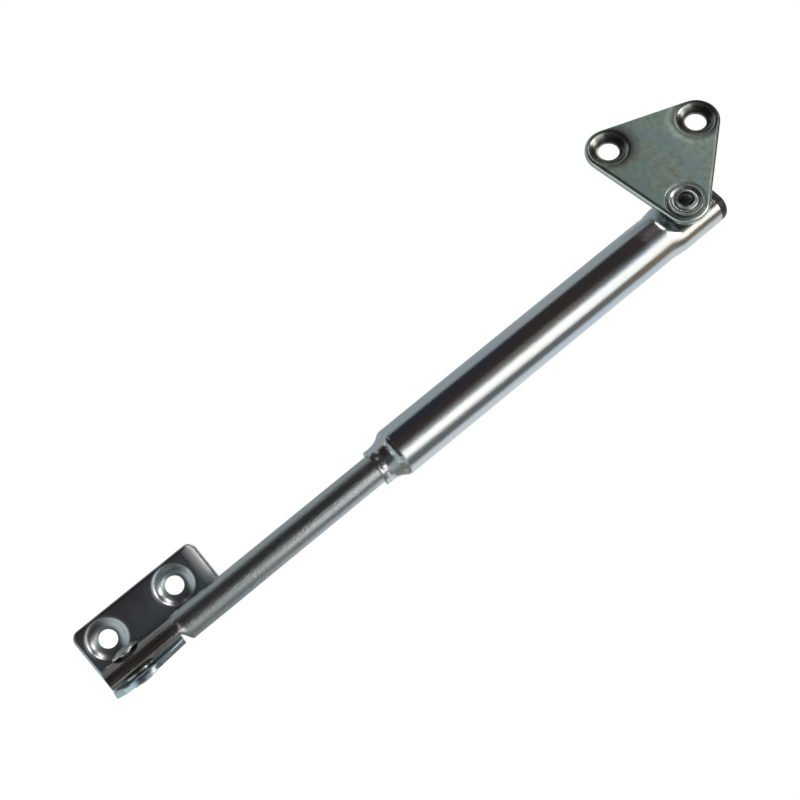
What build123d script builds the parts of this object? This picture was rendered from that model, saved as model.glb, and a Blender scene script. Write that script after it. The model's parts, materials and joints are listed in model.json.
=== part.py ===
from build123d import *
import os
from math import asin, atan2, cos, degrees, radians, sin

os.makedirs("parts", exist_ok=True)

# Telescopic lid stay of zinc-plated steel: an outer tube with a spring inside, an inner tube
# that slides and turns in its neck, a triangular plate riveted to one end and an angle
# bracket riveted to the other. Millimetres. Z runs along the tubes towards the plate. The
# origin lies midway between the plate's screw holes, on its back face, and -Y is its front.

# Sheet of both brackets, and the screw dishes pressed into it
sheet = 1.8
edge_round = 1.1
bend_round = 0.9
near = 0.01
run_steps = 6
round_split = 1.0
plate_hole_d = 6.0
base_hole_d = 5.0
dish_d = 12.4
dish_turn = 42.0
dish_lip = 2.0
dish_bowl = 4.2
dish_wall = 1.1
dish_foot = 0.9
dish_boss = 0.6

# Triangular mounting plate: screw holes, reach from rivet to screw holes, swing at rest
plate_screw_spacing = 25.6
plate_reach = 23.0
plate_corner_r = 6.6
plate_swing = 68.5
pocket_d = 11.6
pocket_floor_d = 10.2
pocket_depth = 0.5
pocket_boss = 0.8
pocket_wall = 0.6

# Outer tube: pivot to mouth, pivot to plugged end, neck, and the end that is pressed flat
tube_d = 14.0
tube_wall = 1.0
tube_reach = 109.6
tube_end = 7.4
neck_length = 1.8
flare_length = 5.2
flare_bias = 2.0
tube_press = 2.1
tube_flat_ease = 6.2
tube_flat_spread = 0.5
tube_flat_reach = 5.2
tube_runout = 4.8

# Inner tube: what shows below the mouth at rest, and the end that is pressed flat
rod_wall = 0.9
rod_showing = 77.9
rod_end = 7.6
rod_press_gap = 0.35
rod_flat_ease = 1.7
rod_flat_spread = 0.5
rod_flat_reach = 13.4
rod_runout = 1.9
rod_roll = 112.0
flare_lip = 0.95
flare_thickness = 0.9
groove_depth = 0.4
groove_width = 1.8

# Angle bracket: base plate beside the tube and the ear that the rivet goes through
base_offset = 9.3
base_screw_spacing = 21.5
base_screw_height = 8.3
base_screw_reach = 9.3
base_margin = 6.6
base_top_margin = 10.4
base_bottom_margin = 7.2
base_corner_r = 2.4
ear_r = 6.4
ear_foot_top = 12.4
bend_r = 1.4

# Rivets and their washers
tube_rivet_d = 6.0
tube_rivet_mouth_d = 4.4
tube_rivet_pit_d = 3.6
tube_rivet_ring_d = 9.7
tube_rivet_ring_h = 0.85
tube_rivet_head_d = 9.6
tube_rivet_head_h = 1.5
tube_washer_h = 1.6
tube_washer_d = 10.4
rod_rivet_d = 4.4
rod_rivet_mouth_d = 3.0
rod_rivet_pit_d = 2.2
rod_rivet_ring_d = 7.2
rod_rivet_ring_h = 0.4
rod_rivet_head_d = 7.8
rod_rivet_head_h = 1.3
rod_washer_h = 1.0
rod_washer_d = 8.0

# Pieces inside and at the end of the outer tube
piston_length = 10.0
piston_wall = 1.72
stop_ring_h = 2.0
thrust_washer_h = 1.2
thrust_washer_bore_d = 4.0
seat_h = 1.6
seat_bore_d = 5.0
wire_d = 1.3
spring_pitch = 4.3
plug_flange_h = 2.6
plug_flange_round = 1.1
plug_spigot_h = 3.4
plug_wall = 1.3

# Details of the rivets and washers
rivet_groove = 0.45
rivet_inner_drop = 0.15
rivet_crest = 0.13
rivet_valley = 0.43
rivet_lip = 0.79
rivet_edge = 0.45
rivet_pit_taper = 0.7
rivet_pit_depth = 4.2
rivet_pit_point = 0.5
washer_edge = 0.25

# Clearances
slide_gap = 0.08
turn_gap = 0.05
hole_gap = 0.05
plug_gap = 0.02
stop_gap = 0.3
spring_gap = 0.4
plug_step = 0.15

# Where the pieces meet, worked out from the sizes above
tube_r = tube_d / 2
bore_r = tube_r - tube_wall
rod_r = bore_r - slide_gap - piston_wall - turn_gap
flare_r = rod_r + flare_lip
tube_flat_rise = tube_r - tube_press
rod_flat_rise = rod_wall + rod_press_gap
tube_flat_w = tube_d - tube_flat_ease
rod_flat_w = 2 * rod_r - rod_flat_ease
plate_back_gap = tube_flat_rise + tube_washer_h + turn_gap + pocket_boss
swing = radians(plate_swing)
axis_x = plate_reach * sin(swing)
axis_y = plate_back_gap
tube_pivot_z = -plate_reach * cos(swing)
mouth_z = tube_pivot_z - tube_reach
rod_pivot_z = mouth_z - rod_showing
neck_bore_r = rod_r + slide_gap
neck_r = neck_bore_r + tube_wall
flare_z = mouth_z + neck_length
bore_z = flare_z + flare_length
runout_z = tube_pivot_z - tube_flat_reach - tube_runout
tube_top_z = tube_pivot_z + tube_end
stop_top_z = bore_z + stop_ring_h
piston_z = stop_top_z + turn_gap
rod_top_z = piston_z + piston_length
thrust_top_z = rod_top_z + thrust_washer_h
seat_z = runout_z - seat_h

up = Vector(0, 0, 1)
tube_axis = Axis((axis_x, axis_y, 0), up)
tube_pivot_plane = Plane(
    origin=(axis_x, axis_y, tube_pivot_z), x_dir=(1, 0, 0), z_dir=(0, -1, 0)
)
half_section = Plane(origin=(axis_x, axis_y, 0), x_dir=(1, 0, 0), z_dir=(0, -1, 0))

# The inner tube's own directions: its flat and its rivet face `outward`, the base lies `beside`
roll = radians(rod_roll)
beside = Vector(cos(roll), sin(roll), 0)
outward = beside.cross(up)


def tube_plane(z):
    return Plane(origin=(axis_x, axis_y, z), x_dir=(1, 0, 0), z_dir=up)


def rod_plane(z):
    return Plane(origin=(axis_x, axis_y, z), x_dir=beside, z_dir=up)


def ease(start, end, lead, bias=0):
    """Two tangent arcs from start to end along lead; bias makes the first radius larger."""
    lead = Vector(*lead)
    step = Vector(*end) - Vector(*start)
    along = step.dot(lead)
    turn = 2 * degrees(atan2(lead.cross(step).Z, along))
    radius = along / (2 * sin(radians(abs(turn))))
    first = JernArc(start, lead, radius + bias, turn)
    return JernArc(first @ 1, first % 1, radius - bias, -turn)


def pressed_outline(r, rise, flat_w, spread, share):
    """A tube's outline, pressed flat on its -Y side by a share from 0, round, to 1."""
    w = r + spread * share
    h = r + (rise - r) * share
    f = flat_w / 2 * share
    with BuildSketch(mode=Mode.PRIVATE) as outline:
        with BuildLine():
            if share:
                EllipticalCenterArc((0, 0), w, r, 0, arc_size=180)
                EllipticalCenterArc((-f, 0), w - f, h, 180, arc_size=90)
                Line((-f, -h), (f, -h))
                EllipticalCenterArc((f, 0), w - f, h, 270, arc_size=90)
            else:
                CenterArc((0, 0), r, 0, 180)
                CenterArc((0, 0), r, 180, 90 - round_split)
                CenterArc((0, 0), r, 270 - round_split, 2 * round_split)
                CenterArc((0, 0), r, 270 + round_split, 90 - round_split)
        make_face()
    return outline.sketch


def pressed_run(plane_at, z_round, z_flat, sizes):
    """Loft from the round outline to the pressed one, eased at both ends."""
    with BuildPart(mode=Mode.PRIVATE) as run:
        for step in range(run_steps + 1):
            t = step / run_steps
            with BuildSketch(plane_at(z_round + (z_flat - z_round) * t)):
                add(pressed_outline(*sizes, t * t * (3 - 2 * t)))
        loft()
    return run.part


tube_outside = (tube_r, tube_flat_rise, tube_flat_w, tube_flat_spread)
rod_outside = (rod_r, rod_flat_rise, rod_flat_w, rod_flat_spread)


def inset(sizes, step):
    """The sizes of a pressed outline, drawn in by step all round."""
    r, rise, flat_w, spread = sizes
    return (r - step, rise - step, flat_w - step, spread)


tube_inside = inset(tube_outside, tube_wall)
rod_inside = inset(rod_outside, rod_wall)


def pressed_tube(plane_at, z_start, z_round, z_flat, z_end, sizes):
    """Solid of a tube's outline: round, then pressed flat to its end."""
    lead = abs(z_round - z_start)
    tail = abs(z_end - z_flat)
    way = 1 if z_end > z_start else -1
    with BuildPart(mode=Mode.PRIVATE) as body:
        with BuildSketch(plane_at(z_start)):
            add(pressed_outline(*sizes, 0))
        extrude(amount=lead * way)
        add(pressed_run(plane_at, z_round, z_flat, sizes))
        with BuildSketch(plane_at(z_flat)):
            add(pressed_outline(*sizes, 1))
        extrude(amount=tail * way)
    return body.part


# Outer tube
tube_flat_z = tube_pivot_z - tube_flat_reach
with BuildPart() as outer_tube:
    with BuildSketch(half_section):
        with BuildLine():
            Line((0, mouth_z), (neck_r, mouth_z))
            Line((neck_r, mouth_z), (neck_r, flare_z))
            ease((neck_r, flare_z), (tube_r, bore_z), (0, 1), flare_bias)
            Line((tube_r, bore_z), (0, bore_z))
            Line((0, bore_z), (0, mouth_z))
        make_face()
    revolve(axis=tube_axis)
    add(pressed_tube(tube_plane, bore_z, runout_z, tube_flat_z, tube_top_z, tube_outside))
    with BuildSketch(half_section):
        with BuildLine():
            Line((0, mouth_z), (neck_bore_r, mouth_z))
            Line((neck_bore_r, mouth_z), (neck_bore_r, flare_z))
            ease((neck_bore_r, flare_z), (bore_r, bore_z), (0, 1), flare_bias + tube_wall)
            Line((bore_r, bore_z), (0, bore_z))
            Line((0, bore_z), (0, mouth_z))
        make_face()
    revolve(axis=tube_axis, mode=Mode.SUBTRACT)
    add(
        pressed_tube(tube_plane, bore_z, runout_z, tube_flat_z, tube_top_z, tube_inside),
        mode=Mode.SUBTRACT,
    )
    with BuildSketch(tube_pivot_plane):
        Circle(tube_rivet_d / 2 + hole_gap)
    extrude(amount=tube_d, both=True, mode=Mode.SUBTRACT)
outer_tube.part.label = "outer_tube"
export_step(outer_tube.part, "parts/outer_tube.step")


def screw_dish(hole_d):
    """The boss behind a round-lipped screw dish and the hollow in front, sheet face at z=0."""
    hole_r = hole_d / 2
    tip_r = hole_r + dish_wall
    lip_foot_r = dish_d / 2 - dish_lip * sin(radians(dish_turn))
    slope_left = sin(radians(dish_turn)) - (lip_foot_r - hole_r) / dish_bowl
    bowl_turn = dish_turn - degrees(asin(slope_left))
    with BuildPart(mode=Mode.PRIVATE) as hollow:
        with BuildSketch(Plane.XZ):
            with BuildLine():
                lip = JernArc((dish_d / 2, 0), (-1, 0), dish_lip, dish_turn)
                bowl = JernArc(lip @ 1, lip % 1, dish_bowl, -bowl_turn)
                Polyline(
                    bowl @ 1,
                    (hole_r, -2 * sheet),
                    (0, -2 * sheet),
                    (0, sheet),
                    (dish_d / 2, sheet),
                    (dish_d / 2, 0),
                )
            make_face()
        revolve(axis=Axis.Z)
    with BuildPart(mode=Mode.PRIVATE) as boss:
        with BuildSketch(Plane.XZ):
            with BuildLine():
                Polyline(
                    (tip_r + dish_foot, -sheet),
                    (tip_r, -sheet - dish_boss),
                    (0, -sheet - dish_boss),
                    (0, -sheet),
                    close=True,
                )
            make_face()
        revolve(axis=Axis.Z)
    return boss.part, hollow.part


def rivet_pocket():
    """The boss behind the rivet's pocket and the hollow in front, about Z, sheet face at z=0."""
    top_r = pocket_d / 2
    floor_r = pocket_floor_d / 2
    hole_r = tube_rivet_d / 2 + turn_gap
    with BuildPart(mode=Mode.PRIVATE) as boss:
        with BuildSketch(Plane.XZ):
            with BuildLine():
                foot = (top_r, -sheet)
                rim = ease(foot, (floor_r + pocket_wall, -sheet - pocket_boss), (-1, 0))
                Polyline(rim @ 1, (0, -sheet - pocket_boss), (0, -sheet), foot)
            make_face()
        revolve(axis=Axis.Z)
    with BuildPart(mode=Mode.PRIVATE) as hollow:
        with BuildSketch(Plane.XZ):
            with BuildLine():
                wall = ease((top_r, 0), (floor_r, -pocket_depth), (-1, 0))
                Polyline(
                    wall @ 1,
                    (hole_r, -pocket_depth),
                    (hole_r, -2 * sheet),
                    (0, -2 * sheet),
                    (0, sheet),
                    (top_r, sheet),
                    (top_r, 0),
                )
            make_face()
        revolve(axis=Axis.Z)
    return boss.part, hollow.part


plate_boss, plate_hollow = screw_dish(plate_hole_d)
base_boss, base_hollow = screw_dish(base_hole_d)
pivot_boss, pivot_hollow = rivet_pocket()

# Triangular mounting plate
plate_line = Vector(cos(swing), 0, sin(swing)) * (plate_screw_spacing / 2)
pivot_spot = Vector(axis_x, 0, tube_pivot_z)
corners = [pivot_spot, plate_line, -plate_line]
face_planes = [
    Plane(origin=spot - Vector(0, sheet, 0), x_dir=(1, 0, 0), z_dir=(0, -1, 0)) for spot in corners
]
with BuildPart() as mounting_plate:
    with BuildSketch(Plane(origin=(0, 0, 0), x_dir=(1, 0, 0), z_dir=(0, -1, 0))):
        with Locations([(spot.X, spot.Z) for spot in corners]):
            Circle(plate_corner_r)
        make_hull()
    extrude(amount=sheet)
    fillet(mounting_plate.edges().group_by(Axis.Y)[0], radius=edge_round)
    with Locations(face_planes[0]):
        add(pivot_boss)
    with Locations(face_planes[1], face_planes[2]):
        add(plate_boss)
    with Locations(face_planes[0]):
        add(pivot_hollow, mode=Mode.SUBTRACT)
    with Locations(face_planes[1], face_planes[2]):
        add(plate_hollow, mode=Mode.SUBTRACT)
mounting_plate.part.label = "mounting_plate"
export_step(mounting_plate.part, "parts/mounting_plate.step")

# Angle bracket: one sheet bent once, its base beside the tube and its ear across the rivet
ear_in = rod_flat_rise + rod_washer_h + turn_gap
ear_out = ear_in + sheet
ear_mid = ear_in + sheet / 2
base_mid = base_offset + sheet / 2
base_edge = base_screw_reach + base_margin
base_top = base_screw_height + base_screw_spacing / 2 + base_top_margin
base_bottom = base_screw_height - base_screw_spacing / 2 - base_bottom_margin
foot_x = base_offset - bend_r
free_edge = -ear_in + bend_r
pivot_point = Vector(axis_x, axis_y, rod_pivot_z)
ear_plane = Plane(origin=pivot_point, x_dir=beside, z_dir=outward)
base_plane = Plane(origin=pivot_point, x_dir=-outward, z_dir=beside)
screw_planes = [
    Plane(
        origin=pivot_point
        + beside * base_offset
        - outward * base_screw_reach
        + up * (base_screw_height + side * base_screw_spacing / 2),
        x_dir=up,
        z_dir=-beside,
    )
    for side in (-1, 1)
]


def reach(edge, way):
    """How far an edge's middle stands from the lower pivot along a direction."""
    return (edge.center() - pivot_point).dot(way)


def is_seam(edge):
    """True for the two seams where the bend runs out into its flats."""
    return abs(edge.length - (ear_foot_top - base_bottom)) < near


def rims_ear(edge):
    """True for an edge round the ear's inner face."""
    return abs(reach(edge, outward) - ear_in) < near and not is_seam(edge)


def rims_base(edge):
    """True for an edge round the base's front, and the one that leads into it at the bend."""
    on_front = abs(reach(edge, beside) - base_offset) < near
    on_bend = abs(reach(edge, beside) - foot_x) < bend_r and reach(edge, outward) < ear_in
    below = abs(reach(edge, up) - base_bottom) < near
    return (on_front or on_bend and below) and not is_seam(edge)


def ear_outline():
    """What is kept of the ear's sheet: hull of the round nose and the foot at the bend."""
    with BuildSketch(mode=Mode.PRIVATE) as outline:
        with BuildLine():
            CenterArc((0, 0), ear_r, 0, 360)
            Line((foot_x, base_bottom), (foot_x, ear_foot_top))
        make_hull()
    return outline.sketch


with BuildPart() as angle_bracket:
    with BuildSketch(rod_plane(rod_pivot_z + base_bottom)):
        with BuildLine():
            FilletPolyline(
                (-ear_r, -ear_mid),
                (base_mid, -ear_mid),
                (base_mid, base_edge),
                radius=bend_r + sheet / 2,
            )
        trace(line_width=sheet)
    extrude(amount=base_top - base_bottom)
    with BuildSketch(ear_plane.offset(ear_mid)):
        with Locations((foot_x, (base_top + base_bottom) / 2)):
            Rectangle(2 * ear_r + foot_x, 2 * base_top, align=(Align.MAX, Align.CENTER))
        add(ear_outline(), mode=Mode.SUBTRACT)
    extrude(amount=sheet, both=True, mode=Mode.SUBTRACT)
    with BuildSketch(rod_plane(rod_pivot_z + ear_foot_top)):
        with Locations((base_offset + 2 * sheet, free_edge)):
            Rectangle(4 * sheet + bend_r, 4 * sheet + bend_r, align=(Align.MAX, Align.MAX))
    extrude(amount=base_top, mode=Mode.SUBTRACT)
    with BuildSketch(base_plane):
        with Locations((base_edge, base_bottom)):
            base_area = Rectangle(
                base_edge + ear_out, base_top - base_bottom, align=(Align.MAX, Align.MIN)
            )
        fillet(base_area.vertices().group_by(Axis.X)[-1], radius=base_corner_r)
    extrude(amount=2 * base_mid, both=True, mode=Mode.INTERSECT)
    fillet(angle_bracket.edges().filter_by(rims_ear), radius=edge_round)
    fillet(angle_bracket.edges().filter_by(rims_base), radius=bend_round)
    with Locations(screw_planes):
        add(base_boss)
    with Locations(screw_planes):
        add(base_hollow, mode=Mode.SUBTRACT)
    with BuildSketch(ear_plane):
        Circle(rod_rivet_d / 2 + turn_gap)
    extrude(amount=2 * ear_out, mode=Mode.SUBTRACT)
angle_bracket.part.label = "angle_bracket"
export_step(angle_bracket.part, "parts/angle_bracket.step")


def rivet_solid(shank_d, mouth_d, pit_d, ring_d, ring_h, head_d, head_h, under_z, tail_z):
    """A rivet about Z: domed head below under_z, hollow tail rolled out into a ring on tail_z."""
    shank_r = shank_d / 2
    mouth_r = mouth_d / 2
    pit_r = pit_d / 2
    ring_r = ring_d / 2
    head_r = head_d / 2
    roll_w = ring_r - mouth_r
    crest_z = tail_z + ring_h
    pit_z = tail_z - rivet_pit_depth
    with BuildPart(mode=Mode.PRIVATE) as rivet:
        with BuildSketch(Plane.XZ):
            with BuildLine():
                Spline(
                    (ring_r, tail_z),
                    (ring_r - roll_w * rivet_crest, crest_z),
                    (ring_r - roll_w * rivet_valley, crest_z - ring_h * rivet_groove),
                    (ring_r - roll_w * rivet_lip, crest_z - ring_h * rivet_inner_drop),
                    (mouth_r, tail_z),
                    tangents=((0, 1), (0, -1)),
                )
                Polyline(
                    (mouth_r, tail_z),
                    (pit_r, tail_z - rivet_pit_taper),
                    (pit_r, pit_z),
                    (0, pit_z - rivet_pit_point),
                    (0, under_z - head_h),
                )
                dome = TangentArc(
                    (0, under_z - head_h), (head_r, under_z - rivet_edge), tangent=(1, 0)
                )
                Polyline(
                    dome @ 1,
                    (head_r, under_z),
                    (shank_r, under_z),
                    (shank_r, tail_z),
                    (ring_r, tail_z),
                )
            make_face()
        revolve(axis=Axis.Z)
    return rivet.part


pocket_level = axis_y + sheet - pocket_depth
with BuildPart() as upper_rivet:
    with Locations(tube_pivot_plane):
        add(
            rivet_solid(
                tube_rivet_d,
                tube_rivet_mouth_d,
                tube_rivet_pit_d,
                tube_rivet_ring_d,
                tube_rivet_ring_h,
                tube_rivet_head_d,
                tube_rivet_head_h,
                -tube_r,
                pocket_level,
            )
        )
upper_rivet.part.label = "upper_rivet"
export_step(upper_rivet.part, "parts/upper_rivet.step")

with BuildPart() as lower_rivet:
    with Locations(ear_plane):
        add(
            rivet_solid(
                rod_rivet_d,
                rod_rivet_mouth_d,
                rod_rivet_pit_d,
                rod_rivet_ring_d,
                rod_rivet_ring_h,
                rod_rivet_head_d,
                rod_rivet_head_h,
                -rod_r,
                ear_out,
            )
        )
lower_rivet.part.label = "lower_rivet"
export_step(lower_rivet.part, "parts/lower_rivet.step")

# Spacer washers between each pressed flat and the bracket that turns on it
with BuildPart() as upper_washer:
    with BuildSketch(tube_pivot_plane.offset(tube_flat_rise)):
        Circle(tube_washer_d / 2)
        Circle(tube_rivet_d / 2 + hole_gap, mode=Mode.SUBTRACT)
    extrude(amount=tube_washer_h)
    chamfer(upper_washer.edges().filter_by(GeomType.CIRCLE).sort_by(SortBy.RADIUS)[-2:], washer_edge)
upper_washer.part.label = "upper_washer"
export_step(upper_washer.part, "parts/upper_washer.step")

with BuildPart() as lower_washer:
    with BuildSketch(ear_plane.offset(rod_flat_rise)):
        Circle(rod_washer_d / 2)
        Circle(rod_rivet_d / 2 + hole_gap, mode=Mode.SUBTRACT)
    extrude(amount=rod_washer_h)
    chamfer(lower_washer.edges().filter_by(GeomType.CIRCLE).sort_by(SortBy.RADIUS)[-2:], washer_edge)
lower_washer.part.label = "lower_washer"
export_step(lower_washer.part, "parts/lower_washer.step")

# Plastic plug that closes the pressed end of the outer tube
with BuildPart() as end_plug:
    with BuildSketch(tube_plane(tube_top_z)):
        add(pressed_outline(*inset(tube_outside, plug_step), 1))
    extrude(amount=plug_flange_h)
    fillet(end_plug.edges().group_by(Axis.Z)[-1], radius=plug_flange_round)
    with BuildSketch(tube_plane(tube_top_z)):
        add(pressed_outline(*inset(tube_inside, plug_gap), 1))
    extrude(amount=-plug_spigot_h)
    with BuildSketch(tube_plane(tube_top_z - plug_spigot_h)):
        add(pressed_outline(*inset(tube_inside, plug_wall), 1))
    extrude(amount=plug_spigot_h + plug_flange_h - plug_wall, mode=Mode.SUBTRACT)
end_plug.part.label = "end_plug"
export_step(end_plug.part, "parts/end_plug.step")

# Seat of the spring, against the run-out of the pressed end
with BuildPart() as spring_seat:
    with BuildSketch(tube_plane(seat_z)):
        Circle(bore_r - slide_gap)
        Circle(seat_bore_d / 2, mode=Mode.SUBTRACT)
    extrude(amount=seat_h)
    chamfer(spring_seat.edges().filter_by(GeomType.CIRCLE).sort_by(SortBy.RADIUS)[-2:], washer_edge)
spring_seat.part.label = "spring_seat"
export_step(spring_seat.part, "parts/spring_seat.step")

# Washer between the spring and the guide piston
with BuildPart() as thrust_washer:
    with BuildSketch(tube_plane(rod_top_z)):
        Circle(bore_r - slide_gap)
        Circle(thrust_washer_bore_d / 2, mode=Mode.SUBTRACT)
    extrude(amount=thrust_washer_h)
    chamfer(thrust_washer.edges().filter_by(GeomType.CIRCLE).sort_by(SortBy.RADIUS)[-2:], washer_edge)
thrust_washer.part.label = "thrust_washer"
export_step(thrust_washer.part, "parts/thrust_washer.step")

# Compression spring, its end turns ground flat
coil_r = bore_r - spring_gap - wire_d / 2
with BuildPart() as compression_spring:
    with BuildLine():
        coil = Helix(
            pitch=spring_pitch,
            height=seat_z - thrust_top_z,
            radius=coil_r,
            center=(axis_x, axis_y, thrust_top_z),
        )
    with BuildSketch(Plane(origin=coil @ 0, z_dir=coil % 0)):
        Circle(wire_d / 2)
    sweep(is_frenet=True)
    with BuildSketch(tube_plane(thrust_top_z)):
        Circle(bore_r)
    extrude(amount=seat_z - thrust_top_z, mode=Mode.INTERSECT)
compression_spring.part.label = "compression_spring"
export_step(compression_spring.part, "parts/compression_spring.step")

# Plastic guide piston: a rib in the inner tube's groove and a recess for its flared end
groove_low = piston_z + (piston_length - groove_width) / 2
groove_floor_r = rod_r - groove_depth
with BuildPart() as guide_piston:
    with BuildSketch(tube_plane(piston_z)):
        Circle(bore_r - slide_gap)
        Circle(rod_r + turn_gap, mode=Mode.SUBTRACT)
    extrude(amount=piston_length)
    with BuildSketch(tube_plane(groove_low + turn_gap)):
        Circle(rod_r + piston_wall / 2)
        Circle(groove_floor_r + turn_gap, mode=Mode.SUBTRACT)
    extrude(amount=groove_width - 2 * turn_gap)
    with BuildSketch(tube_plane(rod_top_z)):
        Circle(flare_r + turn_gap)
    extrude(amount=-flare_thickness - turn_gap, mode=Mode.SUBTRACT)
guide_piston.part.label = "guide_piston"
export_step(guide_piston.part, "parts/guide_piston.step")

# Bumper ring that the piston meets at full reach
with BuildPart() as stop_ring:
    with BuildSketch(tube_plane(bore_z)):
        Circle(bore_r - plug_gap)
        Circle(rod_r + stop_gap, mode=Mode.SUBTRACT)
    extrude(amount=stop_ring_h)
stop_ring.part.label = "stop_ring"
export_step(stop_ring.part, "parts/stop_ring.step")

# Inner tube
rod_flat_z = rod_pivot_z + rod_flat_reach
rod_runout_z = rod_flat_z + rod_runout
rod_end_z = rod_pivot_z - rod_end
with BuildPart() as inner_tube:
    add(pressed_tube(rod_plane, rod_top_z, rod_runout_z, rod_flat_z, rod_end_z, rod_outside))
    with BuildSketch(tube_plane(rod_top_z)):
        Circle(flare_r)
    extrude(amount=-flare_thickness)
    with BuildSketch(tube_plane(groove_low)):
        Circle(rod_r + groove_depth)
        Circle(groove_floor_r, mode=Mode.SUBTRACT)
    extrude(amount=groove_width, mode=Mode.SUBTRACT)
    add(
        pressed_tube(rod_plane, rod_top_z, rod_runout_z, rod_flat_z, rod_end_z, rod_inside),
        mode=Mode.SUBTRACT,
    )
    with BuildSketch(ear_plane):
        Circle(rod_rivet_d / 2 + hole_gap)
    extrude(amount=2 * rod_r, both=True, mode=Mode.SUBTRACT)
inner_tube.part.label = "inner_tube"
export_step(inner_tube.part, "parts/inner_tube.step")
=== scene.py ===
import json
from math import cos, pi, radians, sin

import bpy
from mathutils import Matrix, Vector


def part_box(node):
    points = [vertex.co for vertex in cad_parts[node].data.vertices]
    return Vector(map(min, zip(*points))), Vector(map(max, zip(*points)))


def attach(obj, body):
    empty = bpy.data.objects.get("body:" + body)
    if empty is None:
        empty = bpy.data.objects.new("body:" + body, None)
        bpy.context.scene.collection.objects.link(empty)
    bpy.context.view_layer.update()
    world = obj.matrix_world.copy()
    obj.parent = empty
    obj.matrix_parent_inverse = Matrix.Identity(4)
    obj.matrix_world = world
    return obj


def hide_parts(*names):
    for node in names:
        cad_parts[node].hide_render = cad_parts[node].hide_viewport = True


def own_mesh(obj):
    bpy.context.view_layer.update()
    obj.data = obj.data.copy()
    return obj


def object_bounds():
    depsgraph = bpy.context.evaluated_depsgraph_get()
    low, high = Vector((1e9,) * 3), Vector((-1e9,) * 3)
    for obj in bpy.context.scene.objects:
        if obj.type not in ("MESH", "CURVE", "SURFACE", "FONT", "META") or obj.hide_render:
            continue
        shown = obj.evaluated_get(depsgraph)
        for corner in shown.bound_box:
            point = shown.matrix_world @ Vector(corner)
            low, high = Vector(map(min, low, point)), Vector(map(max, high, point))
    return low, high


# Telescopic lid stay of zinc-plated steel: finishes for every piece, then studio and camera.
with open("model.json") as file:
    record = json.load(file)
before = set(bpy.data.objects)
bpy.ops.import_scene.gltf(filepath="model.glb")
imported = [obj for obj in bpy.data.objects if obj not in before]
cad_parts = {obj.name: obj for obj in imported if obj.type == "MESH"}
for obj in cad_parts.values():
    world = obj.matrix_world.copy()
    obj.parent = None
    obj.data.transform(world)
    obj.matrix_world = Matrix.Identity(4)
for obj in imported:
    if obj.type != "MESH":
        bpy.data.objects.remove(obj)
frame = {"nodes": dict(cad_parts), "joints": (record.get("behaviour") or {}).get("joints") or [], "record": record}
nodes = frame["nodes"]
joints = {joint["name"]: joint for joint in frame["joints"]}
mounts = {mount["name"]: mount for mount in frame["record"]["mounts"]}
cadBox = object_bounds()
mm = 0.001
up = Vector((0, 0, 1))
print("model loaded:", len(nodes), "pieces")


def linear(hexColour):  # sRGB hex to a linear colour
    channels = [int(hexColour[i:i + 2], 16) / 255 for i in (0, 2, 4)]
    return (*[c / 12.92 if c <= 0.04045 else ((c + 0.055) / 1.055) ** 2.4 for c in channels], 1.0)


# Adds one node. An input takes a number, a hex colour, another node or one of its outputs.
def add(tree, kind, inputs=None, **settings):
    made = tree.nodes.new("ShaderNode" + kind)
    for name, value in settings.items():
        setattr(made, name, value)
    live = [socket for socket in made.inputs if socket.enabled]
    for key, value in (inputs or {}).items():
        socket = next(s for i, s in enumerate(live) if key in (i, s.name))
        if isinstance(value, bpy.types.Node):
            value = next(output for output in value.outputs if output.enabled)
        if isinstance(value, bpy.types.NodeSocket):
            tree.links.new(value, socket)
        else:
            socket.default_value = linear(value) if isinstance(value, str) else value
    return made


def emptyMaterial(name):
    material = bpy.data.materials.new(name)
    material.use_nodes = True
    material.node_tree.nodes.clear()
    return material, material.node_tree


def dress(node, material):
    nodes[node].data.materials.clear()
    nodes[node].data.materials.append(material)


# How the patterns run along a tube, as shares of their pitch round it, and how deep a knock is.
tubeSkin = {"lineStretch": 0.04, "cloudStretch": 0.25, "nickDepth": 0.025, "nickSlim": 3}


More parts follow.
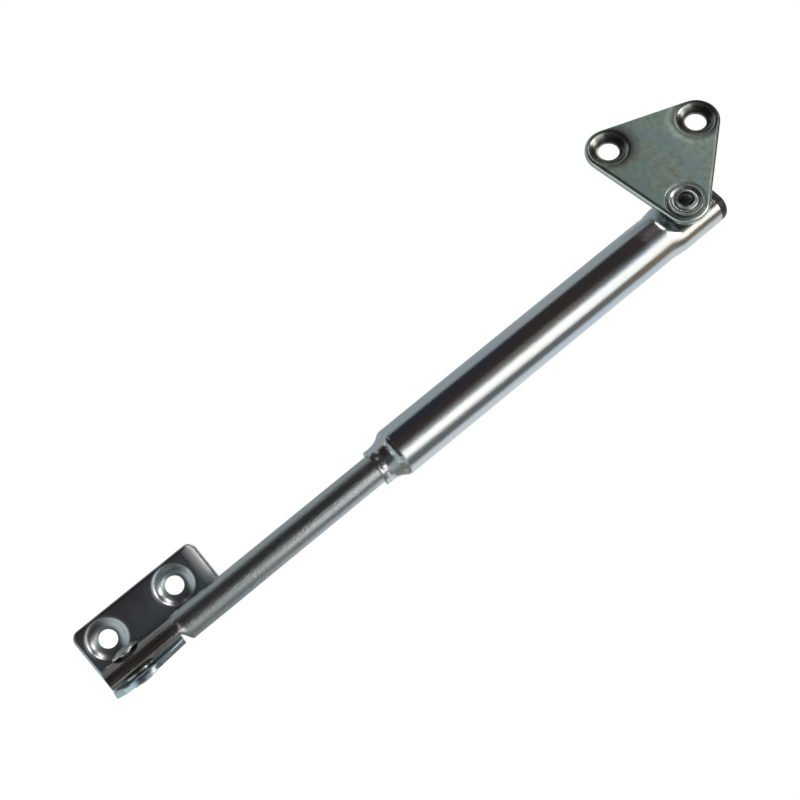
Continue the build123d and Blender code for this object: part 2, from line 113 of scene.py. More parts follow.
# Noise keeps to about 0.3 to 0.7, so each pair of limits below picks how much of the skin it takes.
# Zinc plate on cold-drawn steel tube. Close to a mirror, so what the eye reads is the bands it
# reflects: drawing lines along the tube and a fine grit break their edges, slow waves make them
# wander, and the clear passivation leaves a cloudy bloom of blue and straw.
def zincTube(name, look):
    material, tree = emptyMaterial(name)
    coords = add(tree, "TexCoord")
    here = add(tree, "VectorMath", {0: coords.outputs["Object"], 1: (1 / mm,) * 3}, operation="MULTIPLY")
    drawn = add(tree, "VectorMath", {0: here, 1: (1, 1, tubeSkin["lineStretch"])}, operation="MULTIPLY")
    slow = add(tree, "VectorMath", {0: here, 1: (1, 1, tubeSkin["cloudStretch"])}, operation="MULTIPLY")
    lines = add(tree, "TexNoise", {
        "Vector": drawn, "Scale": 1 / look["line"], "Detail": 3.0, "Roughness": 0.7})
    grit = add(tree, "TexNoise", {
        "Vector": here, "Scale": 1 / look["grit"], "Detail": 3.0, "Roughness": 0.7})
    waves = add(tree, "TexNoise", {"Vector": slow, "Scale": 1 / look["wave"], "Detail": 1.0})
    cloud = add(tree, "TexNoise", {
        "Vector": slow, "Scale": 1 / look["cloud"], "Detail": 4.0, "Roughness": 0.62})
    tide = add(tree, "TexNoise", {"Vector": slow, "Scale": 0.45 / look["cloud"], "Detail": 2.0})
    bloomShare = add(tree, "MapRange", {"Value": tide, "From Min": 0.4, "From Max": 0.65})
    strawShare = add(tree, "MapRange", {
        "Value": cloud, "From Min": 0.5, "From Max": 0.75, "To Max": 0.6})
    wornShare = add(tree, "MapRange", {
        "Value": lines, "From Min": 0.55, "From Max": 0.75, "To Max": look["wornShare"]})
    tint = add(tree, "Mix", {
        "Factor": bloomShare, "A": look["colour"], "B": look["bloom"]}, data_type="RGBA")
    tint = add(tree, "Mix", {"Factor": strawShare, "A": tint, "B": look["straw"]}, data_type="RGBA")
    tint = add(tree, "Mix", {"Factor": wornShare, "A": tint, "B": look["worn"]}, data_type="RGBA")
    smear = add(tree, "MapRange", {
        "Value": cloud, "From Min": 0.35, "From Max": 0.75,
        "To Min": look["roughness"], "To Max": look["smearRoughness"]})
    streak = add(tree, "MapRange", {
        "Value": lines, "From Min": 0.35, "From Max": 0.7, "To Max": look["lineRoughness"]})
    rough = add(tree, "Math", {0: smear, 1: streak}, operation="ADD")
    relief = add(tree, "Bump", {"Height": waves, "Distance": look["waveDepth"] * mm, "Strength": 1.0})
    relief = add(tree, "Bump", {
        "Height": lines, "Distance": look["lineDepth"] * mm, "Strength": 1.0, "Normal": relief})
    relief = add(tree, "Bump", {
        "Height": grit, "Distance": look["gritDepth"] * mm, "Strength": 1.0, "Normal": relief})
    offset = add(tree, "VectorMath", {0: here, 1: (axisX, axisY, 0)}, operation="SUBTRACT")
    parts = add(tree, "SeparateXYZ", {0: offset})
    if "crimps" in look:  # rows of small marks pressed in round the neck, each painted near white as a painted highlight
        count = look["crimps"]["count"]
        turn = add(tree, "Math", {0: parts.outputs["Y"], 1: parts.outputs["X"]}, operation="ARCTAN2")
        cell = add(tree, "Math", {0: turn, 1: count / (2 * pi)}, operation="MULTIPLY")
        for height, radius, lead in look["crimps"]["rows"]:
            share = add(tree, "Math", {0: cell, 1: lead}, operation="ADD")
            share = add(tree, "Math", {0: share}, operation="FRACT")
            across = add(tree, "Math", {0: share, 1: 0.5}, operation="SUBTRACT")
            across = add(tree, "Math", {0: across, 1: 2 * pi * radius / count}, operation="MULTIPLY")
            rise = add(tree, "Math", {0: parts.outputs["Z"], 1: height}, operation="SUBTRACT")
            away = add(tree, "CombineXYZ", {"X": across, "Y": rise})
            away = add(tree, "VectorMath", {0: away}, operation="LENGTH")
            mark = add(tree, "MapRange", {
                "Value": away, "From Min": look["crimps"]["reach"], "From Max": 0.0},
                interpolation_type="SMOOTHSTEP")
            relief = add(tree, "Bump", {
                "Height": mark, "Distance": look["crimps"]["depth"] * mm, "Strength": 1.0,
                "Normal": relief})
            # painted highlight: each mark is painted near white and rough, so it reads as a glint
            tint = add(tree, "Mix", {
                "Factor": mark, "A": tint, "B": look["crimps"]["tint"]}, data_type="RGBA")
            rough = add(tree, "Mix", {
                "Factor": mark, "A": rough, "B": look["crimps"]["roughness"]}, data_type="FLOAT")
    if "endPaintedShade" in look:  # painted shade: darker and browner towards the end that was pressed flat
        endShadeShare = add(tree, "MapRange", {
            "Value": parts.outputs["Z"], "From Min": look["endStart"], "From Max": look["endFull"]},
            interpolation_type="SMOOTHSTEP")
        endLines = add(tree, "MapRange", {
            "Value": lines, "From Min": 0.35, "From Max": 0.6, "To Min": 0.3})
        endShadeShare = add(tree, "Math", {0: endShadeShare, 1: endLines}, operation="MULTIPLY")
        tint = add(tree, "Mix", {"Factor": endShadeShare, "A": tint, "B": look["endPaintedShade"]}, data_type="RGBA")
    if "pressed" in look:  # duller where the press closed on one side of the tube
        share = add(tree, "MapRange", {
            "Value": parts.outputs["Z"], "From Min": look["pressed"]["start"],
            "From Max": look["pressed"]["full"]})
        side = add(tree, "MapRange", {
            "Value": parts.outputs["Y"], "From Min": look["pressed"]["sideStart"],
            "From Max": look["pressed"]["sideFull"]})
        share = add(tree, "Math", {0: share, 1: side}, operation="MULTIPLY")
        rough = add(tree, "Mix", {
            "Factor": share, "A": rough, "B": look["pressed"]["roughness"]}, data_type="FLOAT")
    for height, turn, length in look["nicks"]:  # small knocks: a lengthwise dent each
        spot = (
            cos(radians(turn)) * look["radius"] + axisX,
            sin(radians(turn)) * look["radius"] + axisY, height)
        slim = tubeSkin["nickSlim"] / length
        away = add(tree, "VectorMath", {0: here, 1: spot}, operation="SUBTRACT")
        away = add(tree, "VectorMath", {0: away, 1: (slim, slim, 1 / length)}, operation="MULTIPLY")
        away = add(tree, "VectorMath", {0: away}, operation="LENGTH")
        dent = add(tree, "MapRange", {"Value": away, "From Max": 0.5}, interpolation_type="SMOOTHSTEP")
        relief = add(tree, "Bump", {
            "Height": dent, "Distance": tubeSkin["nickDepth"] * mm, "Strength": 1.0, "Normal": relief})
    shader = add(tree, "BsdfPrincipled", {
        "Base Color": tint, "Metallic": 1.0, "Roughness": rough, "Normal": relief})
    add(tree, "OutputMaterial", {"Surface": shader})
    return material


axisX, axisY = (value / mm for value in joints["plate_pivot"]["pos_m"][:2])  # the tubes' axis, mm

outerTube = {
    "colour": "d8d8d7", "bloom": "c9d0d8", "straw": "dcd5c8", "worn": "e2e4e6", "wornShare": 0.3,
    "roughness": 0.055, "smearRoughness": 0.1, "lineRoughness": 0.035,
    "line": 0.3, "lineDepth": 0.0035,  # real lines are finer: these are as coarse as they need to show
    "grit": 0.5, "gritDepth": 0.04, "wave": 9.0, "waveDepth": 0.012, "cloud": 5.0,
    "pressed": {"start": -25.5, "full": -23.5, "sideStart": -2.5, "sideFull": -5.0, "roughness": 0.2},
    "radius": 7.0, "nicks": [(-57.0, -66.0, 1.3), (-96.5, -62.0, 1.6)],
    "crimps": {"count": 12, "reach": 0.95, "depth": 0.09, "tint": "fbfcfc", "roughness": 0.5,
               "rows": [(-112.5, 6.5, 0.0), (-116.8, 5.2, 0.5)]}}
dress("outer_tube", zincTube("bright zinc plate on drawn tube", outerTube))

innerTube = {
    "colour": "c8c8c5", "bloom": "b8bdc0", "straw": "c6c2b8", "worn": "dcdedd", "wornShare": 0.5,
    "roughness": 0.13, "smearRoughness": 0.2, "lineRoughness": 0.08,
    "line": 0.5, "lineDepth": 0.035,  # as coarse as they need to show
    "grit": 0.55, "gritDepth": 0.1, "wave": 7.0, "waveDepth": 0.01, "cloud": 3.5,
    "radius": 4.15, "nicks": [(-126.0, -92.0, 1.4), (-166.0, -44.0, 1.5)],
    # the pressed end is painted darker and browner: painted shade
    "endPaintedShade": "8c7c72", "endStart": -178.0, "endFull": -187.0}
dress("inner_tube", zincTube("zinc plate rubbed along the tube", innerTube))
print("tubes finished")


# Where the zones round a dish start and are full, in millimetres from its centre. The two edge
# values are cosines of how far the skin leans from the flat of the sheet.
dishZones = {
    "bowlStart": 5.2, "bowlFull": 3.4, "lipStart": 4.6, "lipFull": 5.4,
    "polishStart": 6.4, "polishFull": 5.4, "paintedSweepStart": 5.6, "paintedSweepFull": 6.8,
    "pullStart": 5.6, "pullFull": 9.0, "paintedDishShadeStart": 7.6, "paintedDishShadeFull": 6.2,
    "edgeStart": 0.985, "edgeFull": 0.8}


# Zinc plate on pressed steel sheet, barrel-finished after pressing. Flats are satin with a
# cloudy mottle, and the sheet dips a little where it was drawn into each dish. Rims and dish
# lips are paler and smoother: partly rubbed wear, partly painted highlight.
def zincSheet(name, look, spots, facing):
    material, tree = emptyMaterial(name)
    coords = add(tree, "TexCoord")
    here = add(tree, "VectorMath", {0: coords.outputs["Object"], 1: (1 / mm,) * 3}, operation="MULTIPLY")
    cloud = add(tree, "TexNoise", {
        "Vector": here, "Scale": 1 / look["cloud"], "Detail": 5.0, "Roughness": 0.65})
    patch = add(tree, "TexNoise", {"Vector": here, "Scale": 0.4 / look["cloud"], "Detail": 2.0})
    grain = add(tree, "TexNoise", {
        "Vector": here, "Scale": 1 / look["grain"], "Detail": 3.0, "Roughness": 0.7})
    ripple = add(tree, "TexNoise", {"Vector": here, "Scale": 1 / look["ripple"], "Detail": 1.0})
    reach = None
    for spot in spots:  # millimetres from the nearest dish
        away = add(tree, "VectorMath", {0: here, 1: tuple(spot / mm)}, operation="SUBTRACT")
        away = add(tree, "VectorMath", {0: away}, operation="LENGTH")
        reach = away if reach is None else add(tree, "Math", {0: reach, 1: away}, operation="MINIMUM")
    # partly wear, partly painted highlight: rims, dish lips and every face turned away from the flat of the sheet,
    # such as the bracket's ear, are painted paler
    tilt = add(tree, "VectorMath", {
        0: coords.outputs["Normal"], 1: tuple(facing)}, operation="DOT_PRODUCT")
    tilt = add(tree, "Math", {0: tilt}, operation="ABSOLUTE")
    rim = add(tree, "MapRange", {
        "Value": tilt, "From Min": dishZones["edgeStart"], "From Max": dishZones["edgeFull"]},
        interpolation_type="SMOOTHSTEP")
    far = add(tree, "MapRange", {
        "Value": reach, "From Min": dishZones["lipStart"], "From Max": dishZones["lipFull"]})
    wearAndSheen = add(tree, "Math", {0: rim, 1: far}, operation="MULTIPLY")
    shadeShare = add(tree, "MapRange", {"Value": cloud, "From Min": 0.38, "From Max": 0.66})
    patchShare = add(tree, "MapRange", {
        "Value": patch, "From Min": 0.4, "From Max": 0.62, "To Max": 0.7})
    bowlShare = add(tree, "MapRange", {
        "Value": reach, "From Min": dishZones["bowlStart"], "From Max": dishZones["bowlFull"],
        "To Max": look["bowlShare"]})
    tint = add(tree, "Mix", {
        "Factor": shadeShare, "A": look["colour"], "B": look["shade"]}, data_type="RGBA")
    tint = add(tree, "Mix", {"Factor": patchShare, "A": tint, "B": look["patch"]}, data_type="RGBA")
    tint = add(tree, "Mix", {"Factor": bowlShare, "A": tint, "B": look["bowl"]}, data_type="RGBA")
    if "paintedDishShade" in look:  # painted shade: darker where the sheet rounds over into a dish
        paintedDishShadeShare = add(tree, "MapRange", {
            "Value": reach, "From Min": dishZones["paintedDishShadeStart"], "From Max": dishZones["paintedDishShadeFull"],
            "To Max": 0.7}, interpolation_type="SMOOTHSTEP")
        tint = add(tree, "Mix", {"Factor": paintedDishShadeShare, "A": tint, "B": look["paintedDishShade"]}, data_type="RGBA")
    tint = add(tree, "Mix", {"Factor": wearAndSheen, "A": tint, "B": look["rim"]}, data_type="RGBA")
    if "paintedSweep" in look:  # painted light and shade: pale blue by the bend, dark brown towards the far edge
        paintedSweep = add(tree, "VectorMath", {
            0: here, 1: tuple(look["paintedSweep"]["way"])}, operation="DOT_PRODUCT")
        paintedSweep = add(tree, "Math", {0: paintedSweep, 1: patch}, operation="ADD")
        paintedSweepShare = add(tree, "MapRange", {
            "Value": paintedSweep, "From Min": look["paintedSweep"]["start"], "From Max": look["paintedSweep"]["end"]})
        paintedSweepTint = add(tree, "Mix", {
            "Factor": paintedSweepShare, "A": look["paintedSweep"]["near"], "B": look["paintedSweep"]["far"]},
            data_type="RGBA")
        paintedSweepShare = add(tree, "MapRange", {
            "Value": reach, "From Min": dishZones["paintedSweepStart"], "From Max": dishZones["paintedSweepFull"],
            "To Max": 0.85})
        tint = add(tree, "Mix", {"Factor": paintedSweepShare, "A": tint, "B": paintedSweepTint}, data_type="RGBA")
    flatRough = add(tree, "MapRange", {
        "Value": cloud, "From Min": 0.3, "From Max": 0.7,
        "To Min": look["roughness"], "To Max": look["cloudRoughness"]})
    bowlRough = add(tree, "MapRange", {
        "Value": reach, "From Min": dishZones["polishStart"], "From Max": dishZones["polishFull"]})
    smooth = add(tree, "Math", {0: wearAndSheen, 1: bowlRough}, operation="MAXIMUM")
    rough = add(tree, "Mix", {
        "Factor": smooth, "A": flatRough, "B": look["rimRoughness"]}, data_type="FLOAT")
    pull = add(tree, "MapRange", {
        "Value": reach, "From Min": dishZones["pullStart"], "From Max": dishZones["pullFull"]},
        interpolation_type="SMOOTHSTEP")
    relief = add(tree, "Bump", {"Height": pull, "Distance": look["pullDepth"] * mm, "Strength": 1.0})
    if "roll" in look:  # the shear pulls the sheet over towards its upper end and rubs it matt, and that band is painted paler as a painted highlight
        parts = add(tree, "SeparateXYZ", {0: here})
        ramp = add(tree, "MapRange", {
            "Value": parts.outputs["Z"], "From Min": look["roll"]["end"] - look["roll"]["reach"],
            "From Max": look["roll"]["end"]})
        roll = add(tree, "Math", {0: ramp, 1: 2.0}, operation="POWER")
        relief = add(tree, "Bump", {
            "Height": roll, "Distance": look["roll"]["depth"] * mm, "Strength": 1.0, "Normal": relief},
            invert=True)
        # painted highlight: paler towards the upper end
        tint = add(tree, "Mix", {"Factor": ramp, "A": tint, "B": look["rim"]}, data_type="RGBA")
        rough = add(tree, "Mix", {
            "Factor": ramp, "A": rough, "B": look["roll"]["roughness"]}, data_type="FLOAT")
    relief = add(tree, "Bump", {
        "Height": ripple, "Distance": look["rippleDepth"] * mm, "Strength": 1.0, "Normal": relief})
    relief = add(tree, "Bump", {
        "Height": grain, "Distance": look["grainDepth"] * mm, "Strength": 1.0, "Normal": relief})
    shader = add(tree, "BsdfPrincipled", {
        "Base Color": tint, "Metallic": 1.0, "Roughness": rough, "Normal": relief})
    add(tree, "OutputMaterial", {"Surface": shader})
    return material


upperPivot = Vector(joints["plate_pivot"]["pos_m"])
upperAxis = Vector((0, 1, 0))
lowerPivot = Vector(joints["bracket_pivot"]["pos_m"])
lowerAxis = Vector(joints["bracket_pivot"]["axis"]).normalized()

plateHoles = {"spacing": mounts["plate_screws"]["dims"]["pcd_mm"], "swing": 68.5}
swing = radians(plateHoles["swing"])
plateFront = Vector((0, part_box("mounting_plate")[0].y, 0))
plateRow = Vector((cos(swing), 0, sin(swing))) * plateHoles["spacing"] / 2 * mm

mountingPlate = {
    "colour": "9ba99f", "shade": "859284", "patch": "8ba1a3", "rim": "d2d7cc",
    # the last colour here is painted shade round each dish
    "bowl": "b3aeaa", "bowlShare": 0.7, "paintedDishShade": "5c564f",
    "roughness": 0.42, "cloudRoughness": 0.54, "rimRoughness": 0.25,
    "cloud": 1.9, "grain": 0.45, "grainDepth": 0.003,
    "ripple": 7.0, "rippleDepth": 0.035, "pullDepth": 0.16}
dress("mounting_plate", zincSheet(
    "satin zinc plate on pressed sheet", mountingPlate, [plateFront + plateRow, plateFront - plateRow],
    (0, 1, 0)))

bracketHoles = {
    "spacing": mounts["bracket_screws"]["dims"]["pcd_mm"], "sheet": 1.8, "paintedSweepReach": 9.0}
bracketOut = Vector(mounts["bracket_screws"]["axis"]).normalized()
bracketFace = Vector(mounts["bracket_screws"]["pos_m"]) + bracketOut * bracketHoles["sheet"] * mm
bracketRow = up * bracketHoles["spacing"] / 2 * mm

# the way across the base, from the bend out to its free edge
outwardWay = bracketOut.cross(up)
if outwardWay.dot(bracketFace - lowerPivot) < 0:
    outwardWay = -outwardWay
paintedSweepMiddle = outwardWay.dot(bracketFace) / mm

angleBracket = {
    "colour": "bcb9b8", "shade": "a39a98", "patch": "a4aebb", "rim": "dcdedb",
    "bowl": "d0d5d6", "bowlShare": 0.8,
    "roughness": 0.22, "cloudRoughness": 0.3, "rimRoughness": 0.28,
    "cloud": 4.5, "grain": 0.5, "grainDepth": 0.0015,
    "ripple": 9.0, "rippleDepth": 0.03, "pullDepth": 0.05,
    "roll": {"end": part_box("angle_bracket")[1].z / mm, "reach": 4.2, "depth": 1.1, "roughness": 0.42},
    # painted light and shade across the base, pale by the bend and dark at the far edge
    "paintedSweep": {
        "way": outwardWay, "near": "c3d0d8", "far": "745f5f",
        "start": paintedSweepMiddle - bracketHoles["paintedSweepReach"],
        "end": paintedSweepMiddle + bracketHoles["paintedSweepReach"]}}
dress("angle_bracket", zincSheet(
    "zinc plate on bent sheet", angleBracket, [bracketFace + bracketRow, bracketFace - bracketRow],
    bracketOut))
print("sheet pieces finished")


# Shared by every turned piece: sizes in millimetres, and the tint of a darker hollow.
turnedSkin = {"cloud": 1.5, "grain": 0.5, "roughRise": 0.14, "pitEdge": 0.35, "pitTint": "a2a3a6"}


# Zinc plate on cold-headed and turned steel: bright, with fine rings round its own axis.
def turnedMetal(name, look, centre, axis):
    material, tree = emptyMaterial(name)
    coords = add(tree, "TexCoord")
    here = add(tree, "VectorMath", {0: coords.outputs["Object"], 1: tuple(centre)}, operation="SUBTRACT")
    here = add(tree, "VectorMath", {0: here, 1: (1 / mm,) * 3}, operation="MULTIPLY")
    along = add(tree, "VectorMath", {0: here, 1: tuple(axis)}, operation="DOT_PRODUCT")
    lift = add(tree, "VectorMath", {0: tuple(axis), "Scale": along}, operation="SCALE")
    across = add(tree, "VectorMath", {0: here, 1: lift}, operation="SUBTRACT")
    radius = add(tree, "VectorMath", {0: across}, operation="LENGTH")
    spot = add(tree, "CombineXYZ", {"X": radius, "Y": along})
    rings = add(tree, "TexNoise", {
        "Vector": spot, "Scale": 1 / look["ring"], "Detail": 2.0, "Roughness": 0.6})
    cloud = add(tree, "TexNoise", {
        "Vector": here, "Scale": 1 / turnedSkin["cloud"], "Detail": 3.0, "Roughness": 0.6})
    grain = add(tree, "TexNoise", {
        "Vector": here, "Scale": 1 / turnedSkin["grain"], "Detail": 3.0, "Roughness": 0.7})
    shadeShare = add(tree, "MapRange", {"Value": cloud, "From Min": 0.4, "From Max": 0.7})
    tint = add(tree, "Mix", {
        "Factor": shadeShare, "A": look["colour"], "B": look["shade"]}, data_type="RGBA")
    if "pit" in look:  # darker inside the hollow end
        pitShare = add(tree, "MapRange", {
            "Value": radius, "From Min": look["pit"], "From Max": look["pit"] - turnedSkin["pitEdge"]})
        tint = add(tree, "Mix", {
            "Factor": pitShare, "A": tint, "B": turnedSkin["pitTint"]}, data_type="RGBA")
    rough = add(tree, "MapRange", {
        "Value": cloud, "From Min": 0.3, "From Max": 0.75,
        "To Min": look["roughness"], "To Max": look["roughness"] + turnedSkin["roughRise"]})
    relief = add(tree, "Bump", {"Height": rings, "Distance": look["ringDepth"] * mm, "Strength": 1.0})
    relief = add(tree, "Bump", {
        "Height": grain, "Distance": look["grainDepth"] * mm, "Strength": 1.0, "Normal": relief})
    shader = add(tree, "BsdfPrincipled", {
        "Base Color": tint, "Metallic": 1.0, "Roughness": rough, "Normal": relief})
    add(tree, "OutputMaterial", {"Surface": shader})
    return material


upperRivet = {
    "colour": "bfc3bd", "shade": "989c96", "roughness": 0.24,
    "ring": 0.4, "ringDepth": 0.0008, "grainDepth": 0.001, "pit": 2.0}
dress("upper_rivet", turnedMetal("bright zinc plate on upper rivet", upperRivet, upperPivot, upperAxis))

lowerRivet = {
    "colour": "cdcdc6", "shade": "a5a49c", "roughness": 0.3,
    "ring": 0.4, "ringDepth": 0.0008, "grainDepth": 0.001, "pit": 1.3}
dress("lower_rivet", turnedMetal("bright zinc plate on lower rivet", lowerRivet, lowerPivot, lowerAxis))

upperWasher = {
    "colour": "b7babb", "shade": "94989a", "roughness": 0.22,
    "ring": 0.3, "ringDepth": 0.002, "grainDepth": 0.003}
dress("upper_washer", turnedMetal("zinc plate on upper washer", upperWasher, upperPivot, upperAxis))

lowerWasher = {
    "colour": "b7babb", "shade": "94989a", "roughness": 0.22,
    "ring": 0.3, "ringDepth": 0.002, "grainDepth": 0.003}
dress("lower_washer", turnedMetal("zinc plate on lower washer", lowerWasher, lowerPivot, lowerAxis))

springSeat = {
    "colour": "9a9c9e", "shade": "6e7073", "roughness": 0.28,
    "ring": 0.25, "ringDepth": 0.002, "grainDepth": 0.003}
dress("spring_seat", turnedMetal("plain turned steel seat", springSeat, upperPivot, up))

thrustWasher = {
    "colour": "9a9c9e", "shade": "6e7073", "roughness": 0.28,
    "ring": 0.25, "ringDepth": 0.002, "grainDepth": 0.003}
dress("thrust_washer", turnedMetal("plain turned steel washer", thrustWasher, upperPivot, up))

compressionSpring = {
    "colour": "5c5f63", "shade": "35363a", "roughness": 0.26,
    "ring": 0.35, "ringDepth": 0.002, "grainDepth": 0.003}
springWire = turnedMetal("oiled spring wire", compressionSpring, upperPivot, up)
springMesh = nodes["compression_spring"].data.copy()
springMesh.materials.clear()
springMesh.materials.append(springWire)
spring = bpy.data.objects.new("squeezedSpring", springMesh)
bpy.context.scene.collection.objects.link(spring)
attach(spring, "tube")
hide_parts("compression_spring")
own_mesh(spring)
print("rivets, washers and spring finished")


# Shared by every moulding, in millimetres but for the two shifts of roughness.
mouldSkin = {
    "flow": 3.0, "flowDepth": 0.02, "skinDepth": 0.004, "scuff": 0.9, "smoother": 0.07, "rougher": 0.1}


# Injection-moulded plastic or rubber: satin skin with a faint flow mottle, scuffed paler in
# short streaks where it is handled.
def moulded(name, look):
    material, tree = emptyMaterial(name)
    coords = add(tree, "TexCoord")
    here = add(tree, "VectorMath", {0: coords.outputs["Object"], 1: (1 / mm,) * 3}, operation="MULTIPLY")
    flow = add(tree, "TexNoise", {
        "Vector": here, "Scale": 1 / mouldSkin["flow"], "Detail": 3.0, "Roughness": 0.6})
    skin = add(tree, "TexNoise", {
        "Vector": here, "Scale": 1 / look["skin"], "Detail": 3.0, "Roughness": 0.7})
    scuff = add(tree, "TexNoise", {
        "Vector": here, "Scale": 1 / mouldSkin["scuff"], "Detail": 5.0, "Roughness": 0.75})
    scuffShare = add(tree, "MapRange", {
        "Value": scuff, "From Min": 0.56, "From Max": 0.72, "To Max": 0.6})
    tint = add(tree, "Mix", {
        "Factor": scuffShare, "A": look["colour"], "B": look["scuff"]}, data_type="RGBA")
    rough = add(tree, "MapRange", {
        "Value": flow, "From Min": 0.3, "From Max": 0.7,
        "To Min": look["roughness"] - mouldSkin["smoother"],
        "To Max": look["roughness"] + mouldSkin["rougher"]})
    relief = add(tree, "Bump", {
        "Height": flow, "Distance": mouldSkin["flowDepth"] * mm, "Strength": 1.0})
    relief = add(tree, "Bump", {
        "Height": skin, "Distance": mouldSkin["skinDepth"] * mm, "Strength": 1.0, "Normal": relief})
    shader = add(tree, "BsdfPrincipled", {
        "Base Color": tint, "IOR": look["ior"], "Roughness": rough, "Normal": relief})
    add(tree, "OutputMaterial", {"Surface": shader})
    return material


endPlug = {"colour": "211b17", "scuff": "40372f", "roughness": 0.4, "skin": 0.35, "ior": 1.51}
dress("end_plug", moulded("black moulded polythene", endPlug))

guidePiston = {"colour": "d9d6cb", "scuff": "b9b6aa", "roughness": 0.34, "skin": 0.5, "ior": 1.48}
dress("guide_piston", moulded("white moulded acetal", guidePiston))

stopRing = {"colour": "17171a", "scuff": "2a2a2c", "roughness": 0.6, "skin": 0.4, "ior": 1.52}
dress("stop_ring", moulded("black moulded rubber", stopRing))
print("moulded pieces finished")

# Pale floor. A little glow for the rays that look straight at it, more of it further out where
# the lamps fall off, keeps it white and leaves the object's soft shadow on it.
floorLook = {
    "drop": 120.0, "halfSize": 4.0, "colour": "f0f0ef", "roughness": 0.9,
    "tooth": 2.0, "toothDepth": 0.02,
    "nearGlow": 0.06, "farGlow": 0.3, "nearReach": 0.2, "farReach": 1.2}
floorZ = cadBox[0].z - floorLook["drop"] * mm
half = floorLook["halfSize"]
floorMesh = bpy.data.meshes.new("floor")
floorCorners = [
    (-half, -half, floorZ), (half, -half, floorZ), (half, half, floorZ), (-half, half, floorZ)]
floorMesh.from_pydata(floorCorners, [], [(0, 1, 2, 3)])
floor = bpy.data.objects.new("floor", floorMesh)
bpy.context.scene.collection.objects.link(floor)
paper, tree = emptyMaterial("matt white paper")
coords = add(tree, "TexCoord")
tooth = add(tree, "TexNoise", {
    "Vector": coords.outputs["Object"], "Scale": 1 / (floorLook["tooth"] * mm)})
relief = add(tree, "Bump", {"Height": tooth, "Distance": floorLook["toothDepth"] * mm, "Strength": 1.0})
rays = add(tree, "LightPath")
looks = add(tree, "Math", {
    0: rays.outputs["Is Camera Ray"], 1: rays.outputs["Is Glossy Ray"]}, operation="MAXIMUM")
looks = add(tree, "Math", {0: looks, 1: rays.outputs["Is Transmission Ray"]}, operation="MAXIMUM")
reach = add(tree, "VectorMath", {0: coords.outputs["Object"]}, operation="LENGTH")
spread = add(tree, "MapRange", {
    "Value": reach, "From Min": floorLook["nearReach"], "From Max": floorLook["farReach"],
    "To Min": floorLook["nearGlow"], "To Max": floorLook["farGlow"]})
glow = add(tree, "Math", {0: looks, 1: spread}, operation="MULTIPLY")
shader = add(tree, "BsdfPrincipled", {
    "Base Color": floorLook["colour"], "Roughness": floorLook["roughness"], "Normal": relief,
    "Emission Color": "ffffff", "Emission Strength": glow})
add(tree, "OutputMaterial", {"Surface": shader})
floorMesh.materials.append(paper)

# Round tent of grey cloth that only the metal mirrors. Dark flags and white gaps hang round it,
# each drawn over the ones before: where its middle is as a compass turn from +X, half its width
# and its soft edge in degrees, the heights that it hangs between in metres, and its shade.
tent = {
    "radius": 1.2, "eye": 0.01, "height": 1.15, "lift": 0.002, "steps": 96,
    "strength": 1.5, "cloth": "868f92", "hem": 0.08,
    "roof": "262220", "roofFrom": 0.28, "roofFull": 0.46, "roofInner": 0.35, "roofOuter": 0.8,
    "spot": "b6c2c4", "spotInner": 0.06, "spotOuter": 0.24,
    "strips": [
        (-110, 36, 12, -1.0, 1.0, "2e2a29"),  # the great dark flag that gives the tubes their core
        (-130, 16, 10, 0.0, 0.19, "222632"),
        (-72, 6, 8, 0.18, 0.4, "6e6862"),
        (-76, 30, 16, -1.0, -0.11, "3a3e40"),  # it hangs further round below
        (-158, 16, 14, -0.26, -0.1, "8a9698"),
        (-36, 11, 9, -0.06, 1.0, "fefefe"),  # the gap that gives the tubes their bright line
        (-19, 8, 7, 0.2, 1.0, "f8f8f2"),
        (-16, 10, 10, -0.3, -0.1, "929a98"),
        (8, 13, 9, -0.12, 1.0, "5c6062"),  # a second, lighter flag past the gap
        (14, 12, 8, 0.38, 1.0, "726656"),
        (74, 36, 16, -0.12, 1.0, "bcc2c6"),  # open, pale side
        (36, 22, 14, -1.0, -0.14, "686e6a"),
        (-112, 22, 14, -1.0, -0.27, "262120")]}
steps = tent["steps"]
turns = [2 * pi * i / steps for i in range(steps)]
rows = [
    (tent["eye"], floorZ + tent["lift"]), (tent["radius"], floorZ + tent["lift"]),
    (tent["radius"], floorZ + tent["height"]), (tent["eye"], floorZ + tent["height"])]
tentMesh = bpy.data.meshes.new("studioTent")
tentMesh.from_pydata(
    [(radius * cos(turn), radius * sin(turn), level) for radius, level in rows for turn in turns], [],
    [(row * steps + i, row * steps + (i + 1) % steps,
      (row + 1) * steps + (i + 1) % steps, (row + 1) * steps + i)
     for row in range(len(rows) - 1) for i in range(steps)])
tentObject = bpy.data.objects.new("studioTent", tentMesh)
bpy.context.scene.collection.objects.link(tentObject)
cloth, tree = emptyMaterial("lit tent cloth")
coords = add(tree, "TexCoord")
spot = add(tree, "SeparateXYZ", {0: coords.outputs["Object"]})
flat = add(tree, "CombineXYZ", {"X": spot.outputs["X"], "Y": spot.outputs["Y"]})
reach = add(tree, "VectorMath", {0: flat}, operation="LENGTH")
wayRound = add(tree, "VectorMath", {0: flat}, operation="NORMALIZE")
shade = tent["cloth"]
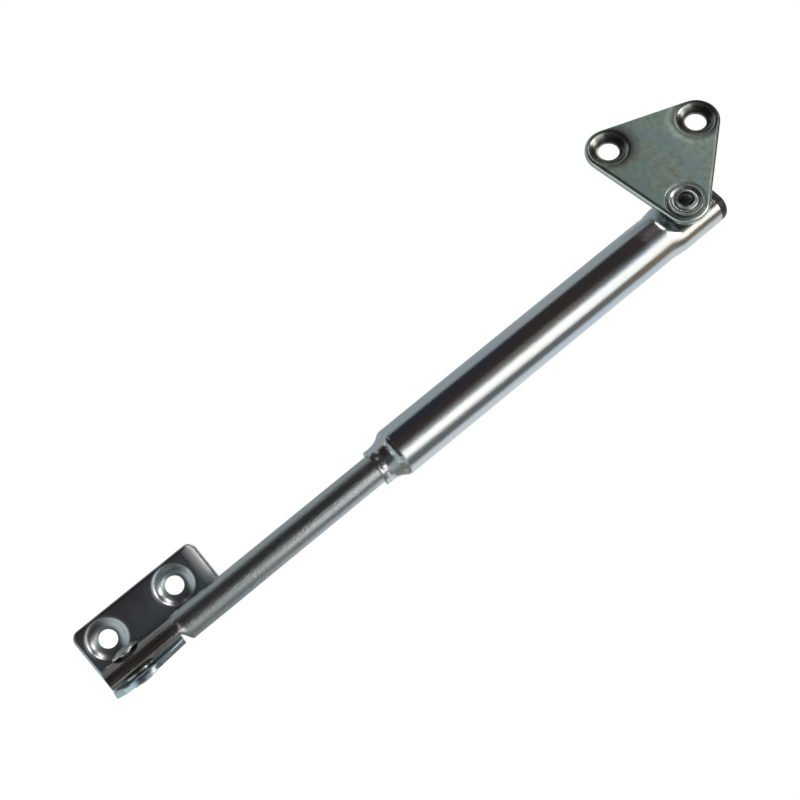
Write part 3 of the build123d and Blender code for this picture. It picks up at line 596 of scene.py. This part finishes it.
for turn, half, edge, bottom, top, colour in tent["strips"]:
    stripMiddle = (cos(radians(turn)), sin(radians(turn)), 0)
    near = add(tree, "VectorMath", {0: wayRound, 1: stripMiddle}, operation="DOT_PRODUCT")
    share = add(tree, "MapRange", {
        "Value": near, "From Min": cos(radians(half + edge)), "From Max": cos(radians(half))},
        interpolation_type="SMOOTHSTEP")
    for height, hem in ((bottom, tent["hem"]), (top, -tent["hem"])):
        inside = add(tree, "MapRange", {
            "Value": spot.outputs["Z"], "From Min": height - hem, "From Max": height + hem},
            interpolation_type="SMOOTHSTEP")
        share = add(tree, "Math", {0: share, 1: inside}, operation="MULTIPLY")
    shade = add(tree, "Mix", {"Factor": share, "A": shade, "B": colour}, data_type="RGBA")
rise = add(tree, "MapRange", {
    "Value": spot.outputs["Z"], "From Min": tent["roofFrom"], "From Max": tent["roofFull"]})
nearSpot = add(tree, "MapRange", {
    "Value": reach, "From Min": tent["spotOuter"], "From Max": tent["spotInner"]},
    interpolation_type="SMOOTHSTEP")
nearRoof = add(tree, "MapRange", {
    "Value": reach, "From Min": tent["roofOuter"], "From Max": tent["roofInner"]},
    interpolation_type="SMOOTHSTEP")
roof = add(tree, "Mix", {"Factor": nearRoof, "A": shade, "B": tent["roof"]}, data_type="RGBA")
foot = add(tree, "Mix", {"Factor": nearSpot, "A": shade, "B": tent["spot"]}, data_type="RGBA")
shade = add(tree, "Mix", {"Factor": rise, "A": foot, "B": roof}, data_type="RGBA")
glow = add(tree, "Emission", {"Color": shade, "Strength": tent["strength"]})
add(tree, "OutputMaterial", {"Surface": glow})
tentMesh.materials.append(cloth)
for way in ("camera", "diffuse", "transmission", "volume_scatter", "shadow"):
    setattr(tentObject, "visible_" + way, False)

skyLook = {"colour": "ffffff", "seen": 1.0, "shed": 0.85}  # seen by camera and mirrors, shed as light
world = bpy.data.worlds.new("studio")
bpy.context.scene.world = world
world.use_nodes = True
tree = world.node_tree
tree.nodes.clear()
rays = add(tree, "LightPath")
looks = add(tree, "Math", {
    0: rays.outputs["Is Camera Ray"], 1: rays.outputs["Is Glossy Ray"]}, operation="MAXIMUM")
looks = add(tree, "Math", {0: looks, 1: rays.outputs["Is Transmission Ray"]}, operation="MAXIMUM")
skyLevel = add(tree, "MapRange", {"Value": looks, "To Min": skyLook["shed"], "To Max": skyLook["seen"]})
sky = add(tree, "Background", {"Color": skyLook["colour"], "Strength": skyLevel})
add(tree, "OutputWorld", {"Surface": sky})


def softbox(name, look):
    lamp = bpy.data.lights.new(name, "AREA")
    lamp.shape = "ELLIPSE"
    lamp.size, lamp.size_y = look["size"]
    lamp.energy = look["power"]
    made = bpy.data.objects.new(name, lamp)
    bpy.context.scene.collection.objects.link(made)
    made.location = middle + Vector(look["reach"])
    made.rotation_euler = Vector(look["reach"]).to_track_quat("Z", "Y").to_euler()


middle = (cadBox[0] + cadBox[1]) / 2
keyBox = {"reach": (0.44, -0.52, 0.75), "size": (0.35, 0.35), "power": 1.3}
softbox("keyBox", keyBox)
frontBox = {"reach": (-0.26, -0.62, 0.72), "size": (0.6, 0.32), "power": 1.6}
softbox("frontBox", frontBox)
backBox = {"reach": (-0.5, 0.55, 0.6), "size": (0.4, 0.4), "power": 0.8}
softbox("backBox", backBox)
print("studio built")

# where the camera stands in millimetres, and the ways that its back and its top face
viewLook = {
    "where": (136.2, -308.92, -160.0),
    "back": (0.3633, -0.9158, -0.171), "above": (-0.6828, -0.3866, 0.62),
    "lens": 58.58, "sensor": 36.0, "nearest": 0.01}
back = Vector(viewLook["back"]).normalized()
right = Vector(viewLook["above"]).cross(back).normalized()
turned = Matrix((right, back.cross(right), back)).transposed().to_4x4()
cameraData = bpy.data.cameras.new("camera")
cameraData.lens = viewLook["lens"]
cameraData.sensor_width = viewLook["sensor"]
cameraData.clip_start = viewLook["nearest"]
camera = bpy.data.objects.new("camera", cameraData)
bpy.context.scene.collection.objects.link(camera)
camera.matrix_world = Matrix.Translation(Vector(viewLook["where"]) * mm) @ turned
bpy.context.scene.camera = camera
bpy.context.scene.view_settings.view_transform = "Standard"
print("camera placed")
